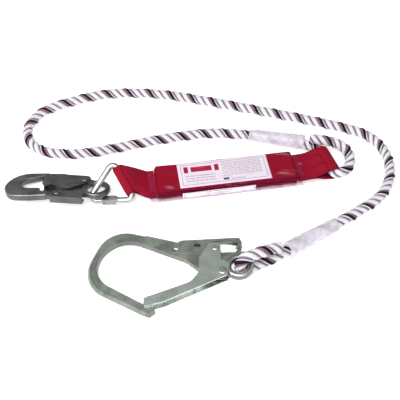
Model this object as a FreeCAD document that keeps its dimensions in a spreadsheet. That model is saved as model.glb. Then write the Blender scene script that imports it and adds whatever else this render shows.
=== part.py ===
"""Shock absorbing lanyard: snap hook, quick link, energy absorber, rope and scaffold hook.

Millimetres, +Z up, laid out on the plane Z = 0. The origin is under the middle of the
absorber and the metalwork. Each hook is drawn about the middle of its eye, with its load line
near X and its thickness centred on Z = 0, and is then placed as it lies.
"""
import FreeCAD, Part
import math
import os
from FreeCAD import Placement, Rotation, Vector

doc = FreeCAD.newDocument("shock_absorbing_lanyard")
sheet = doc.addObject("Spreadsheet::Sheet", "dims")

DIMENSIONS = [
    # absorber
    ("strap_width", 45.0), ("strap_thick", 2.6), ("pack_length", 196.0), ("pack_width", 50.0),
    ("pack_high", 24.0), ("film_wall", 0.8), ("stack_length", 176.0), ("stack_high", 19.6),
    ("label_length", 115.0), ("label_width", 41.0), ("label_thick", 0.4), ("label_side_high", 9.0),
    ("tack_length", 8.0), ("tack_width", 34.0), ("tack_thick", 0.9),
    # rope and its sleeves
    ("rope_dia", 14.0), ("splice_dia", 19.0), ("splice_end_dia", 15.2), ("shrink_wall", 0.7),
    # quick link
    ("wire_dia", 8.0), ("link_half_base", 28.0), ("link_reach", 51.0), ("wire_bend", 6.0),
    ("sleeve_length", 20.0), ("sleeve_flats", 11.2), ("sleeve_from_apex", 27.0),
    ("sleeve_bore_gap", 0.08), ("wire_gap", 8.0),
    # scaffold hook
    ("bow_half", 4.0), ("core_half", 2.6), ("bow_chamfer", 2.6),
    ("eye_half", 4.5), ("eye_outer", 16.0), ("eye_hole", 9.0), ("eye_round", 3.0),
    ("lever_half", 4.3), ("lever_inner", 3.0), ("gate_half", 6.1), ("gate_inner", 4.8),
    ("spring_slot_half", 1.7), ("pivot_pin", 3.0), ("lever_pin", 2.5), ("head_rise", 1.3),
    ("head_extra", 2.0), ("pin_gap", 0.05), ("cut_half", 12.0), ("full_turn", 360.0),
    # snap hook
    ("snap_bow_half", 4.5), ("snap_core_half", 3.0), ("snap_eye_outer", 17.5),
    ("snap_eye_hole", 11.0), ("snap_eye_half", 3.7), ("snap_eye_round", 2.6),
    ("snap_lever_half", 4.6), ("snap_lever_inner", 3.4), ("snap_gate_half", 6.1),
    ("snap_gate_inner", 4.9), ("snap_pin", 2.4), ("snap_round", 2.4), ("tongue_half", 2.8),
    ("snap_slot_half", 1.4),
]
for row, (alias, value) in enumerate(DIMENSIONS, start=1):
    sheet.set("A%d" % row, alias)
    sheet.set("B%d" % row, str(value))
    sheet.setAlias("B%d" % row, alias)
doc.recompute()


def dim(name):
    return float(sheet.get(name))


# ---------------------------------------------------------------------------- outlines
def rounded(corners):
    """Closed outline of lines and tangent arcs; each corner is (x, y, radius)."""
    count = len(corners)
    pieces = []
    for index, (x, y, radius) in enumerate(corners):
        here = Vector(x, y, 0)
        before = Vector(*corners[index - 1][:2], 0) - here
        after = Vector(*corners[(index + 1) % count][:2], 0) - here
        before.normalize()
        after.normalize()
        angle = before.getAngle(after)
        reach = radius / math.tan(angle / 2)
        bisector = (before + after).normalize()
        middle = here + bisector * (radius / math.sin(angle / 2) - radius)
        pieces.append((here + before * reach, middle, here + after * reach))
    edges = []
    for index, (start, middle, end) in enumerate(pieces):
        if start.distanceToPoint(end) > 1e-6:
            edges.append(Part.ArcOfCircle(start, middle, end))
        following = pieces[(index + 1) % count][0]
        if end.distanceToPoint(following) > 1e-6:
            edges.append(Part.LineSegment(end, following))
    return edges


def circle(x, y, radius):
    return [Part.Circle(Vector(x, y, 0), Vector(0, 0, 1), radius)]


def sector(x, y, inner, outer, first, last):
    """Closed outline between two arcs about (x, y), from one angle to another in degrees."""
    centre = Vector(x, y, 0)
    start, end = math.radians(first), math.radians(last)
    up = Vector(0, 0, 1)
    near = Part.ArcOfCircle(Part.Circle(centre, up, inner), start, end)
    far = Part.ArcOfCircle(Part.Circle(centre, up, outer), start, end)
    return [near, Part.LineSegment(near.EndPoint, far.EndPoint), far,
            Part.LineSegment(far.StartPoint, near.StartPoint)]


# ---------------------------------------------------------------------------- bodies
def new_body(label):
    body = doc.addObject("PartDesign::Body", label)
    body.Label = label
    return body


def flat_sketch(body, name, edges, height):
    """Sketch parallel to the body's XY plane, at a height given as a sheet formula."""
    sketch = body.newObject("Sketcher::SketchObject", name)
    plane = [item for item in body.Origin.OriginFeatures if item.Role == "XY_Plane"][0]
    sketch.AttachmentSupport = [(plane, "")]
    sketch.MapMode = "FlatFace"
    sketch.setExpression("AttachmentOffset.Base.z", height)
    for edge in edges:
        sketch.addGeometry(edge, False)
    return sketch


def pad(body, name, edges, half):
    """Plate of an outline, from minus to plus the half thickness in the cell `half`."""
    feature = body.newObject("PartDesign::Pad", name)
    feature.Profile = flat_sketch(body, name + "_outline", edges, "-<<dims>>.%s" % half)
    feature.setExpression("Length", "2 * <<dims>>.%s" % half)
    doc.recompute()
    return feature


def slot(body, name, edges, half):
    """Cut of an outline between minus and plus the half height in the cell `half`."""
    before = body.Shape.Volume
    feature = body.newObject("PartDesign::Pocket", name)
    feature.Profile = flat_sketch(body, name + "_outline", edges, "-<<dims>>.%s" % half)
    feature.setExpression("Length", "2 * <<dims>>.%s" % half)
    feature.Reversed = True
    doc.recompute()
    if body.Shape.Volume > before - 0.5:
        raise RuntimeError(name + " cuts nothing")
    return feature


def ring(body, name, inner, outer, half, corner):
    """Eye of rounded section: a core hole first, then the ring turned about the body's Z."""
    clear = (inner + outer) / 2
    slot(body, name + "_seat", circle(0, 0, clear), "cut_half")
    sketch = body.newObject("Sketcher::SketchObject", name + "_section")
    plane = [item for item in body.Origin.OriginFeatures if item.Role == "XZ_Plane"][0]
    sketch.AttachmentSupport = [(plane, "")]
    sketch.MapMode = "FlatFace"
    for edge in rounded([(inner, -half, corner), (outer, -half, corner),
                         (outer, half, corner), (inner, half, corner)]):
        sketch.addGeometry(edge, False)
    feature = body.newObject("PartDesign::Revolution", name)
    feature.Profile = sketch
    feature.ReferenceAxis = (sketch, ["V_Axis"])
    feature.setExpression("Angle", "<<dims>>.full_turn")
    doc.recompute()
    return feature


def edge_numbers(shape, wanted):
    return ["Edge%d" % (number + 1) for number, edge in enumerate(shape.Edges) if wanted(edge)]


def dress(body, kind, name, size_property, size, wanted):
    """Fillet or chamfer on the edges of the body's tip that `wanted` picks."""
    tip = body.Tip
    feature = body.newObject("PartDesign::" + kind, name)
    feature.Base = (tip, edge_numbers(tip.Shape, wanted))
    feature.setExpression(size_property, "<<dims>>.%s" % size)
    doc.recompute()
    return feature


def level(edge, height):
    """True for an edge that lies wholly at plus or minus one height."""
    box = edge.BoundBox
    return box.ZLength < 0.01 and abs(abs(box.ZMax) - height) < 0.01


def solid_node(label, shape):
    feature = doc.addObject("Part::Feature", label)
    feature.Label = label
    feature.Shape = shape
    return feature


def rivet(label, spot, pin, half, placement):
    """Riveted pin with a low domed head on each side of a stack of plates."""
    radius = dim(pin)
    head = radius + dim("head_extra")
    rise = dim("head_rise")
    gap = 0.05
    flat = half + gap
    profile = Part.Wire([
        Part.makeLine((0, 0, -flat - rise), (0, 0, flat + rise)),
        Part.makeLine((0, 0, flat + rise), (head * 0.55, 0, flat + rise)),
        Part.Arc(Vector(head * 0.55, 0, flat + rise), Vector(head * 0.87, 0, flat + rise * 0.75),
                 Vector(head, 0, flat + rise * 0.1)).toShape(),
        Part.makeLine((head, 0, flat + rise * 0.1), (head, 0, flat)),
        Part.makeLine((head, 0, flat), (radius, 0, flat)),
        Part.makeLine((radius, 0, flat), (radius, 0, -flat)),
        Part.makeLine((radius, 0, -flat), (head, 0, -flat)),
        Part.makeLine((head, 0, -flat), (head, 0, -flat - rise * 0.1)),
        Part.Arc(Vector(head, 0, -flat - rise * 0.1), Vector(head * 0.87, 0, -flat - rise * 0.75),
                 Vector(head * 0.55, 0, -flat - rise)).toShape(),
        Part.makeLine((head * 0.55, 0, -flat - rise), (0, 0, -flat - rise)),
    ])
    shape = Part.Face(profile).revolve(Vector(0, 0, 0), Vector(0, 0, 1), 360)
    feature = solid_node(label, shape)
    feature.Placement = placement.multiply(Placement(Vector(*spot, 0), Rotation()))
    return feature


def torsion_spring(label, spot, radius, wire, turns, leg, placement):
    """Coil of close turns about a pin, each end running out as a short straight leg."""
    pitch = wire * 1.12
    rise = pitch * turns
    helix = Part.makeHelix(pitch, rise, radius)
    helix.translate(Vector(0, 0, -rise / 2))
    section = Part.Wire(Part.makeCircle(wire / 2, Vector(radius, 0, -rise / 2), Vector(0, 1, 0)))
    coil = Part.Wire(helix.Edges).makePipeShell([section], True, True)
    tail = Part.makeCylinder(wire / 2, leg, Vector(radius, 0, -rise / 2), Vector(0, -1, 0))
    ending = helix.Edges[-1].Vertexes[-1].Point
    outward = Vector(-ending.y, ending.x, 0).normalize()
    head = Part.makeCylinder(wire / 2, leg, ending, outward)
    shape = coil.fuse([tail, head]).removeSplitter()
    feature = solid_node(label, shape)
    feature.Placement = placement.multiply(Placement(Vector(*spot, 0), Rotation()))
    return feature


# ---------------------------------------------------------------------------- scaffold hook
# The hook lies nose down on the ground plane; the rope's lower leg holds its eye off the ground.
HOOK_EYE = Vector(75.8, -64.3, 19)
HOOK_TILT = 4.9
hook_place = Placement(HOOK_EYE, Rotation(0, -HOOK_TILT, 0))
LEVER_PIVOT = (-70.7, 28.3)
GATE_PIVOT = (-18.3, -7.9)
LOCK_PIN = (-26.1, 24.2)

bow_outline = rounded([
    (-98.4, 45.5, 0), (-152.5, 62.6, 33), (-181.7, -13.6, 38), (-106, -56.7, 0),
    (-99.5, -58.5, 3.5), (-92.5, -53, 2.2), (-94.5, -45.5, 2), (-100.5, -46, 2),
    (-107, -44.5, 4), (-161.5, -10.95, 33), (-161.5, 60.2, 33), (-60, 10.9, 20),
    (-44.5, -3.5, 10), (-36, -2, 3), (-37, 12.5, 3), (-72, 21.5, 22), (-98.2, 32, 9)])
core_outline = rounded([
    (-108, 48.5, 1), (-39, 26.4, 2), (-33, 18.8, 3), (9, 18.8, 4), (12, 2, 4), (3, -12, 4),
    (-10, -12, 3), (-17, -14.5, 6), (-31, -13.5, 9), (-44.5, -3.5, 10), (-60, 10.9, 20),
    (-108, 36, 1)])

scaffold_body = new_body("scaffold_hook_body")
pad(scaffold_body, "bow", bow_outline, "bow_half")


def on_outer_bow(edge):
    middle = edge.CenterOfMass
    below_arm = middle.y < -50.5 - 0.62 * (middle.x + 110)
    return level(edge, dim("bow_half")) and edge.BoundBox.XMax < -98 and (
        middle.y > 43 or middle.x < -163 or (below_arm and middle.x < -107))


dress(scaffold_body, "Chamfer", "bow_chamfers", "Size", "bow_chamfer", on_outer_bow)
pad(scaffold_body, "core", core_outline, "core_half")
ring(scaffold_body, "eye", dim("eye_hole"), dim("eye_outer"), dim("eye_half"), dim("eye_round"))
slot(scaffold_body, "pivot_holes",
     circle(*GATE_PIVOT, dim("pivot_pin") + dim("pin_gap"))
     + circle(*LEVER_PIVOT, dim("lever_pin") + dim("pin_gap")), "gate_half")
slot(scaffold_body, "gate_spring_slot",
     rounded([(-26, -2.5, 2), (-12.5, -2.5, 2), (-12.5, -30, 1), (-26, -30, 1)]), "spring_slot_half")
slot(scaffold_body, "lever_spring_slot",
     rounded([(-78, 22.8, 2), (-63, 22.8, 2), (-63, 50, 1), (-78, 50, 1)]), "spring_slot_half")
scaffold_body.Placement = hook_place

# squeeze lever: pressed channel, its back along the grip and its cheeks over the spine
scaffold_lever = new_body("scaffold_lock_lever")
pad(scaffold_lever, "cheeks", rounded([
    (-78, 24.8, 5), (-67, 37.6, 5), (1.5, 37.6, 3.5), (4.5, 30, 4), (2.5, 23.5, 2), (-6, 21.5, 1),
    (-32, 19, 2), (-44, 17.6, 6), (-62, 21, 8)]), "lever_half")
slot(scaffold_lever, "channel", rounded([
    (-90, 36.1, 1), (20, 36.1, 1), (20, 0, 1), (-90, 0, 1)]), "lever_inner")
slot(scaffold_lever, "pin_arc", sector(*GATE_PIVOT, 22, 42.8, 64, 109.5), "gate_half")
slot(scaffold_lever, "lever_holes",
     circle(*LEVER_PIVOT, dim("lever_pin") + dim("pin_gap")) + circle(-47, 28.5, 4), "gate_half")
scaffold_lever.Placement = hook_place

# gate: pressed channel open to the outside, its web facing the throat
scaffold_gate = new_body("scaffold_gate")
pad(scaffold_gate, "cheeks", rounded([
    (-33, 31.5, 5), (-45, 11, 5), (-44.5, -7, 12), (-54, -20.5, 14), (-105, -38.5, 2),
    (-105, -49.5, 2.5), (-84, -44.5, 10), (-13, -13.5, 5), (-10.2, 2.5, 6), (-20.2, 7, 4),
    (-20.5, 30.5, 4.5)]), "gate_half")
slot(scaffold_gate, "channel", rounded([
    (-53.3, -22.3, 0.5), (-49.5, -13, 1), (-60, 60, 1), (30, 60, 1), (30, -80, 1), (-114, -80, 1),
    (-114.1, -43.7, 0.5)]), "gate_inner")
slot(scaffold_gate, "gate_holes",
     circle(*GATE_PIVOT, dim("pivot_pin") + dim("pin_gap"))
     + circle(*LOCK_PIN, dim("lever_pin") + dim("pin_gap")), "cut_half")
scaffold_gate.Placement = hook_place

rivet("scaffold_gate_rivet", GATE_PIVOT, "pivot_pin", dim("gate_half"), hook_place)
rivet("scaffold_lever_rivet", LEVER_PIVOT, "lever_pin", dim("lever_half"), hook_place)
rivet("scaffold_lock_pin", LOCK_PIN, "lever_pin", dim("gate_half"), hook_place)
torsion_spring("scaffold_gate_spring", GATE_PIVOT, 4.2, 1.0, 2.5, 9.0, hook_place)
torsion_spring("scaffold_lever_spring", LEVER_PIVOT, 3.6, 0.9, 2.5, 9.0, hook_place)


# ---------------------------------------------------------------------------- snap hook
# The snap hook lies gate edge down; the link under its eye holds the eye off the ground.
SNAP_EYE = Vector(-96.7, 54.2, 14.2)
snap_place = Placement(SNAP_EYE, Rotation(0, 0, -17))
SNAP_GATE_PIVOT = (-15.6, 14.3)
SNAP_LEVER_PIVOT = (-45.9, -13.5)

snap_body = new_body("snap_hook_body")
pad(snap_body, "bow", rounded([
    (-61, 33.6, 2.5), (-104, 33, 30), (-115.5, 2, 22), (-105, -19.8, 17), (-80, -20.5, 12),
    (-58, -18, 2), (-58, -8, 2), (-68.6, -7.5, 1.5), (-69.2, -1, 1.5), (-94, -1, 10.5),
    (-94, 16.6, 10.5), (-67, 27.5, 8), (-61, 28.2, 1)]), "snap_bow_half")


def on_snap_outer(edge):
    middle = edge.CenterOfMass
    return level(edge, dim("snap_bow_half")) and middle.x < -66 and (
        math.hypot(middle.x + 84, middle.y - 7) > 21)


dress(snap_body, "Fillet", "bow_rounds", "Radius", "snap_round", on_snap_outer)
pad(snap_body, "nose_tongue", rounded([
    (-66, 31, 0.5), (-66, 28.3, 0.5), (-54, 25.4, 1), (-54, 28, 1)]), "tongue_half")
pad(snap_body, "core", rounded([
    (-64, -8, 1), (-64, -17.5, 1), (-56, -17.5, 3), (-14, -13.5, 4), (-4, -15, 4), (0, 0, 6),
    (-4, 17, 4), (-10, 20, 4), (-22, 19, 6), (-30, 4, 8), (-50, -8, 8)]), "snap_core_half")
ring(snap_body, "eye", dim("snap_eye_hole"), dim("snap_eye_outer"), dim("snap_eye_half"),
     dim("snap_eye_round"))
slot(snap_body, "pivot_holes",
     circle(*SNAP_GATE_PIVOT, dim("snap_pin") + dim("pin_gap"))
     + circle(*SNAP_LEVER_PIVOT, dim("snap_pin") + dim("pin_gap")), "gate_half")
slot(snap_body, "gate_spring_slot",
     rounded([(-40, 10, 2), (-9.5, 8.6, 2), (-9.5, 40, 1), (-40, 40, 1)]), "snap_slot_half")
slot(snap_body, "lever_spring_slot",
     rounded([(-52.5, -7.5, 2), (-39.5, -7.5, 2), (-39.5, -40, 1), (-52.5, -40, 1)]),
     "snap_slot_half")
snap_body.Placement = snap_place

snap_gate = new_body("snap_gate")
pad(snap_gate, "cheeks", rounded([
    (-67.4, 25.6, 1), (-67.4, 5, 2), (-63.5, -0.5, 1.5), (-57, 4.2, 2), (-52.5, 4, 2),
    (-46.5, -3.2, 3), (-34.5, -7, 4), (-14, 6, 5), (-7, 17, 6), (-12, 23, 5), (-40, 26.3, 8),
    (-42, 27.8, 3), (-60.5, 28.6, 2), (-60.5, 25.6, 0.6)]), "snap_gate_half")
slot(snap_gate, "channel", rounded([
    (-90, -20, 1), (-90, 11, 1), (-65.8, 11, 1), (-65.8, 26, 0.3), (-90, 26, 0.3),
    (-90, 50, 1), (10, 50, 1), (10, -20, 1)]), "snap_gate_inner")
slot(snap_gate, "gate_hole",
     circle(*SNAP_GATE_PIVOT, dim("snap_pin") + dim("pin_gap")), "cut_half")
snap_gate.Placement = snap_place

snap_lever = new_body("snap_lock_lever")
pad(snap_lever, "cheeks", rounded([
    (-54, -9, 5), (-54.5, -22, 2.5), (-14, -26.3, 2.5), (-13, -16.5, 3), (-34, -9, 8)]),
    "snap_lever_half")
slot(snap_lever, "channel", rounded([
    (-70, -18.5, 1), (0, -25.7, 1), (0, 20, 1), (-70, 20, 1)]), "snap_lever_inner")
slot(snap_lever, "lever_hole",
     circle(*SNAP_LEVER_PIVOT, dim("snap_pin") + dim("pin_gap")), "cut_half")
snap_lever.Placement = snap_place

rivet("snap_gate_rivet", SNAP_GATE_PIVOT, "snap_pin", dim("snap_gate_half"), snap_place)
rivet("snap_lever_rivet", SNAP_LEVER_PIVOT, "snap_pin", dim("snap_lever_half"), snap_place)
torsion_spring("snap_gate_spring", SNAP_GATE_PIVOT, 3.4, 0.8, 2.5, 9.0, snap_place)
torsion_spring("snap_lever_spring", SNAP_LEVER_PIVOT, 3.4, 0.8, 2.5, 6.0, snap_place)


# ---------------------------------------------------------------------------- quick link
# Three-sided wire link about the middle of its base bar, local +X towards the apex.
LINK_PLACE = Placement(Vector(-62.2, 63.2, 21), Rotation(205, 17, -30))
SLEEVE_PHASE = 30.0
half_base = dim("link_half_base")
reach = dim("link_reach")
wire_radius = dim("wire_dia") / 2
corner = dim("wire_bend")
side = math.hypot(half_base, reach)
side_way = Vector(-reach, half_base, 0) / side
apex = Vector(reach, 0, 0)
gap_middle = apex + side_way * (dim("sleeve_from_apex") - 4.5)


def path_of(corners):
    """Wire of straight runs joined by tangent arcs, closed."""
    return Part.Wire([piece.toShape() for piece in rounded(corners)])


link_path = path_of([(0, half_base, corner), (0, -half_base, corner), (reach, 0, corner)])
first_edge = link_path.Edges[0]
wire_section = Part.Wire(Part.makeCircle(wire_radius, first_edge.Vertexes[0].Point,
                                         first_edge.tangentAt(first_edge.FirstParameter)))
link_ring = link_path.makePipeShell([wire_section], True, True)
gap_block = Part.makeBox(dim("wire_gap"), 14, 14, Vector(-dim("wire_gap") / 2, -7, -7))
gap_block.Placement = Placement(gap_middle, Rotation(Vector(1, 0, 0), side_way))
link_wire = solid_node("link_wire", link_ring.cut(gap_block))
link_wire.Placement = LINK_PLACE

sleeve_half = dim("sleeve_length") / 2
across = dim("sleeve_flats") / 2
corner_radius = across / math.cos(math.radians(30))
sleeve_end = 2.4
hexagon = Part.makePolygon([Vector(
    corner_radius * math.cos(math.radians(60 * k + SLEEVE_PHASE)),
    corner_radius * math.sin(math.radians(60 * k + SLEEVE_PHASE)), -sleeve_half)
    for k in range(7)])
prism = Part.Face(hexagon).extrude(Vector(0, 0, 2 * sleeve_half))
barrel = Part.Face(Part.makePolygon([
    Vector(0, 0, -sleeve_half), Vector(across * 0.86, 0, -sleeve_half),
    Vector(corner_radius, 0, -sleeve_half + sleeve_end),
    Vector(corner_radius, 0, sleeve_half - sleeve_end),
    Vector(across * 0.86, 0, sleeve_half), Vector(0, 0, sleeve_half),
    Vector(0, 0, -sleeve_half)])).revolve(Vector(0, 0, 0), Vector(0, 0, 1), 360)
bore = Part.makeCylinder(wire_radius + dim("sleeve_bore_gap"), 4 * sleeve_half,
                         Vector(0, 0, -2 * sleeve_half))
screw_sleeve = solid_node("link_screw_sleeve", prism.common(barrel).cut(bore))
screw_sleeve.Placement = LINK_PLACE.multiply(Placement(
    apex + side_way * dim("sleeve_from_apex"), Rotation(Vector(0, 0, 1), side_way)))


# ---------------------------------------------------------------------------- absorber
PACK = Placement(Vector(63.8, 78.7, 0), Rotation(8.8, 0, 0))
pack_half = dim("pack_length") / 2
pack_width = dim("pack_width")
pack_high = dim("pack_high")
wall = dim("film_wall")
strap = dim("strap_width")
tail = 2 * dim("strap_thick")
tail_level = pack_high / 2


def slab(x_low, x_high, width, z_low, z_high, round_edges):
    """Block across local Y with its long edges rounded."""
    half = width / 2
    face = Part.Face(path_of([
        (-half, z_low, round_edges), (half, z_low, round_edges),
        (half, z_high, round_edges), (-half, z_high, round_edges)]))
    block = face.extrude(Vector(0, 0, x_high - x_low))
    block.Placement = Placement(Vector(x_low, 0, 0), Rotation(Vector(1, 1, 1), 120))
    return block


def absorber_piece(label, shape):
    feature = solid_node(label, shape)
    feature.Placement = PACK.multiply(shape.Placement)
    return feature


film = slab(-pack_half, pack_half, pack_width, 0, pack_high, 5).cut(
    slab(-pack_half - 1, pack_half + 1, pack_width - 2 * wall, wall, pack_high - wall, 4.2))
absorber_piece("film_sleeve", film)
stack_low = 1.6
stack_top = stack_low + dim("stack_high")
stack_half = dim("stack_length") / 2
absorber_piece("tear_webbing_stack",
               slab(-stack_half, stack_half, strap - 1.2, stack_low, stack_top, 3))
label_middle = -2.0
label_half = dim("label_length") / 2
absorber_piece("rating_label", Part.makeBox(
    dim("label_length"), dim("label_width"), dim("label_thick"),
    Vector(label_middle - label_half, -dim("label_width") / 2, stack_top + 0.3)))
absorber_piece("edge_label", Part.makeBox(
    dim("label_length") * 0.8, dim("label_thick"), dim("label_side_high"),
    Vector(-label_half, -pack_width / 2 + wall + 0.1, 7)))


def strap_end(centre, way, width, thick, upright):
    """Rectangle of strap section: width along `way`, thickness along `upright`."""
    aside = way * (width / 2)
    up = upright * (thick / 2)
    return Part.makePolygon([centre - aside - up, centre + aside - up, centre + aside + up,
                             centre - aside + up, centre - aside - up])


def strap_loop(label, pack_side, loop_centre, loop_way, loop_width, bore_radius, wrap, tongue):
    """Strap from inside the film to a loop round a bar or the rope."""
    inner = PACK.multVec(Vector(pack_side * (stack_half + 0.6), 0, tail_level))
    mouth = PACK.multVec(Vector(pack_side * (pack_half + 0.5), 0, tail_level))
    across_pack = PACK.Rotation.multVec(Vector(0, 1, 0))
    up = Vector(0, 0, 1)
    way = loop_way if loop_way.dot(across_pack) > 0 else loop_way * -1
    outward = loop_centre - mouth
    outward = (outward - way * outward.dot(way)).normalize()
    normal = outward.cross(way).normalize()
    if normal.z < 0:
        normal = normal * -1
    root = loop_centre - outward * (bore_radius + wrap / 2)
    mouth_end = strap_end(mouth, across_pack, strap - 0.6, tail, up)
    tail_block = Part.makeLoft([
        strap_end(inner, across_pack, strap - 0.6, tail, up), mouth_end], True, True)
    blade = Part.makeLoft([mouth_end, strap_end(root, way, loop_width, tongue, normal)],
                          True, True)
    shell = Part.makeCylinder(bore_radius + wrap, loop_width,
                              loop_centre - way * (loop_width / 2), way)
    hole = Part.makeCylinder(bore_radius, 4 * loop_width, loop_centre - way * (2 * loop_width), way)
    return solid_node(label, tail_block.fuse([blade, shell]).removeSplitter().cut(hole))


bar_middle = LINK_PLACE.Base
bar_way = LINK_PLACE.Rotation.multVec(Vector(0, 1, 0))
strap_loop("hook_end_loop", -1, bar_middle, bar_way, 35.0, wire_radius + 0.35, 2.9, 6.5)
TUNNEL_NEAR = Vector(200.5, 89.4, 10.2)
TUNNEL_FAR = Vector(190.8, 118.9, 10.3)
tunnel_way = (TUNNEL_FAR - TUNNEL_NEAR).normalize()
rope_radius = dim("rope_dia") / 2
strap_loop("rope_end_loop", 1, (TUNNEL_NEAR + TUNNEL_FAR) * 0.5, tunnel_way, 32.0,
           rope_radius + 1.0, 2.2, 7.5)
for name, pack_side in (("hook_end_tack", -1), ("rope_end_tack", 1)):
    absorber_piece(name, Part.makeBox(
        dim("tack_length"), dim("tack_width"), dim("tack_thick"),
        Vector(pack_side * (stack_half + 5) - dim("tack_length") / 2, -dim("tack_width") / 2,
               tail_level + tail / 2)))


# ---------------------------------------------------------------------------- rope
# From the top of the absorber eye, through the strap, along the ground and round the hook eye.
ROPE_ROUTE = [
    (174.5, 133, 24.6), (189.1, 130.4, 24.5), (210.1, 127.9, 22.5), (224.6, 115.4, 18), (225.1, 98.9, 14),
    (216.1, 85.9, 11.5), (202.1, 84.4, 10.2), (194.4, 108.4, 10), (183.8, 136, 11.5),
    (61.8, 164.2, 7), (1.8, 154.7, 7), (-56.2, 139.7, 7), (-113.2, 122.7, 7), (-153.2, 121.2, 7),
    (-182.2, 129.2, 7), (-201.2, 151.2, 7), (-201.2, 181.2, 7), (-185.2, 206.2, 7),
    (-153.2, 223.2, 7), (-106.2, 240.7, 7), (-53.2, 243.2, 7), (-3.2, 236.7, 7),
    (76.8, 215.7, 7), (156.8, 193.7, 7), (213.8, 176.2, 7), (257.8, 159.2, 7),
    (276.3, 128.2, 7), (277.3, 90.2, 7), (261.3, 52.2, 7), (231.8, 28.7, 7),
    (123.8, -41.5, 10.7), (102.8, -51.5, 7), (76.3, -64.1, 7), (76.3, -64.1, 32.8),
    (100.8, -52.5, 31.8), (122.8, -42, 26.3)]


def rope_wire(points):
    """Straight runs joined by tangent arcs of 0.45 of the shorter run at each point."""
    corners = [Vector(*point) for point in points]
    edges = []
    here = corners[0]
    for before, point, after in zip(corners, corners[1:], corners[2:]):
        back = before - point
        onward = after - point
        cut = 0.45 * min(back.Length, onward.Length)
        half_turn = (math.pi - back.getAngle(onward)) / 2
        radius = cut / math.tan(half_turn)
        back.normalize()
        onward.normalize()
        first, last = point + back * cut, point + onward * cut
        bisector = (back + onward).normalize()
        middle = point + bisector * (math.hypot(cut, radius) - radius)
        edges.append(Part.LineSegment(here, first).toShape())
        edges.append(Part.Arc(first, middle, last).toShape())
        here = last
        print("rope turn at (%g, %g, %g): %.0f degrees, radius %.0f mm, %.1f diameters" % (
            point.x, point.y, point.z, math.degrees(2 * half_turn), radius,
            radius / dim("rope_dia")))
    edges.append(Part.LineSegment(here, corners[-1]).toShape())
    return Part.Wire(edges)


rope_line = rope_wire(ROPE_ROUTE)
first_edge = rope_line.Edges[0]
section = Part.Wire(Part.makeCircle(rope_radius, first_edge.Vertexes[0].Point,
                                    first_edge.tangentAt(first_edge.FirstParameter)))
rope = rope_line.makePipeShell([section], True, False)
solid_node("rope", rope)
expected = math.pi * rope_radius ** 2 * rope_line.Length
print("rope length %.0f mm, volume %.0f against %.0f" % (rope_line.Length, rope.Volume, expected))


def tapered(begin, end, begin_radius, end_radius):
    return Part.makeCone(begin_radius, end_radius, begin.distanceToPoint(end), begin,
                         (end - begin).normalize())


def splice(name, eye_side, rope_side):
    """Tucked strands that taper onto the rope, under a shrunk plastic sleeve."""
    wide, slim = dim("splice_dia") / 2, dim("splice_end_dia") / 2
    skin = dim("shrink_wall")
    way = (rope_side - eye_side).normalize()
    core = Part.makeCylinder(rope_radius + 0.02, 300, eye_side - way * 100, way)
    tucks = tapered(eye_side + way * 1.5, rope_side - way * 6, wide, slim)
    solid_node("splice_" + name, tucks.cut(core))
    outside = tapered(eye_side, rope_side, wide + skin, slim + skin)
    solid_node("shrink_sleeve_" + name,
               outside.cut(tapered(eye_side, rope_side, wide + 0.1, slim + 0.1)))


def along(first, last, distance):
    one, two = Vector(*first), Vector(*last)
    return one + (two - one).normalize() * distance


splice("absorber_eye", along(ROPE_ROUTE[8], ROPE_ROUTE[9], 14),
       along(ROPE_ROUTE[8], ROPE_ROUTE[9], 88))
splice("hook_eye", along(ROPE_ROUTE[30], ROPE_ROUTE[29], 12),
       along(ROPE_ROUTE[30], ROPE_ROUTE[29], 84))


# ---------------------------------------------------------------------------- checks, files
doc.recompute()
parts = [item for item in doc.Objects
         if item.TypeId in ("PartDesign::Body", "Part::Feature")]
for item in doc.Objects:
    if "Invalid" in item.State or "Error" in item.State:
        raise RuntimeError("failed: " + item.Label)
for item in parts:
    if item.Shape.isNull() or not item.Shape.isValid() or not item.Shape.Solids:
        raise RuntimeError("bad shape: " + item.Label)
os.makedirs("parts", exist_ok=True)
for item in parts:
    item.Shape.exportStep("parts/%s.step" % item.Label)
    print(item.Label, round(item.Shape.Volume), len(item.Shape.Solids))
print(len(parts), "nodes")
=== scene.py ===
import bpy
import math
import numpy as np
from mathutils import Matrix, Vector


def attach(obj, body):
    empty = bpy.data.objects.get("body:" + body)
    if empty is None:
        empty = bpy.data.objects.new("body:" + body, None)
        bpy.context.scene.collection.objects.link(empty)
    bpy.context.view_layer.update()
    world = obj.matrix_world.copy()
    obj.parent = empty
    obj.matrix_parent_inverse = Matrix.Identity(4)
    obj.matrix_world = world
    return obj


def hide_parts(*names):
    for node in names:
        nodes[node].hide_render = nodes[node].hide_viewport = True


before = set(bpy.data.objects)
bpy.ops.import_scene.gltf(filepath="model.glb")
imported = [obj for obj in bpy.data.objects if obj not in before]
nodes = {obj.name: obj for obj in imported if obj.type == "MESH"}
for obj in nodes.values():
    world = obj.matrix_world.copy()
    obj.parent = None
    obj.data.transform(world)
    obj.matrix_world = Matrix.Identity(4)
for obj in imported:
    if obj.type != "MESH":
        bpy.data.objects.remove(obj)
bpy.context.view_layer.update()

# ---------------------------------------------------------------- camera
# A copy stand view: the lanyard lies on a table and is looked at from in front and well above.
# The lens is a normal one, a little less than a metre away.
bpy.ops.object.select_all(action="DESELECT")
LOOK_AT = Vector((0.0318, 0.0492, 0.0))
STAND = Vector((0.0318, -0.4898, 0.643))
bpy.ops.object.camera_add(location=STAND)
camera = bpy.context.object
camera.data.lens = 60.4
camera.data.sensor_width = 36.0
camera.rotation_euler = (LOOK_AT - STAND).to_track_quat("-Z", "Y").to_euler()
bpy.context.scene.camera = camera
bpy.context.scene.view_settings.view_transform = "Standard"


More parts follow.
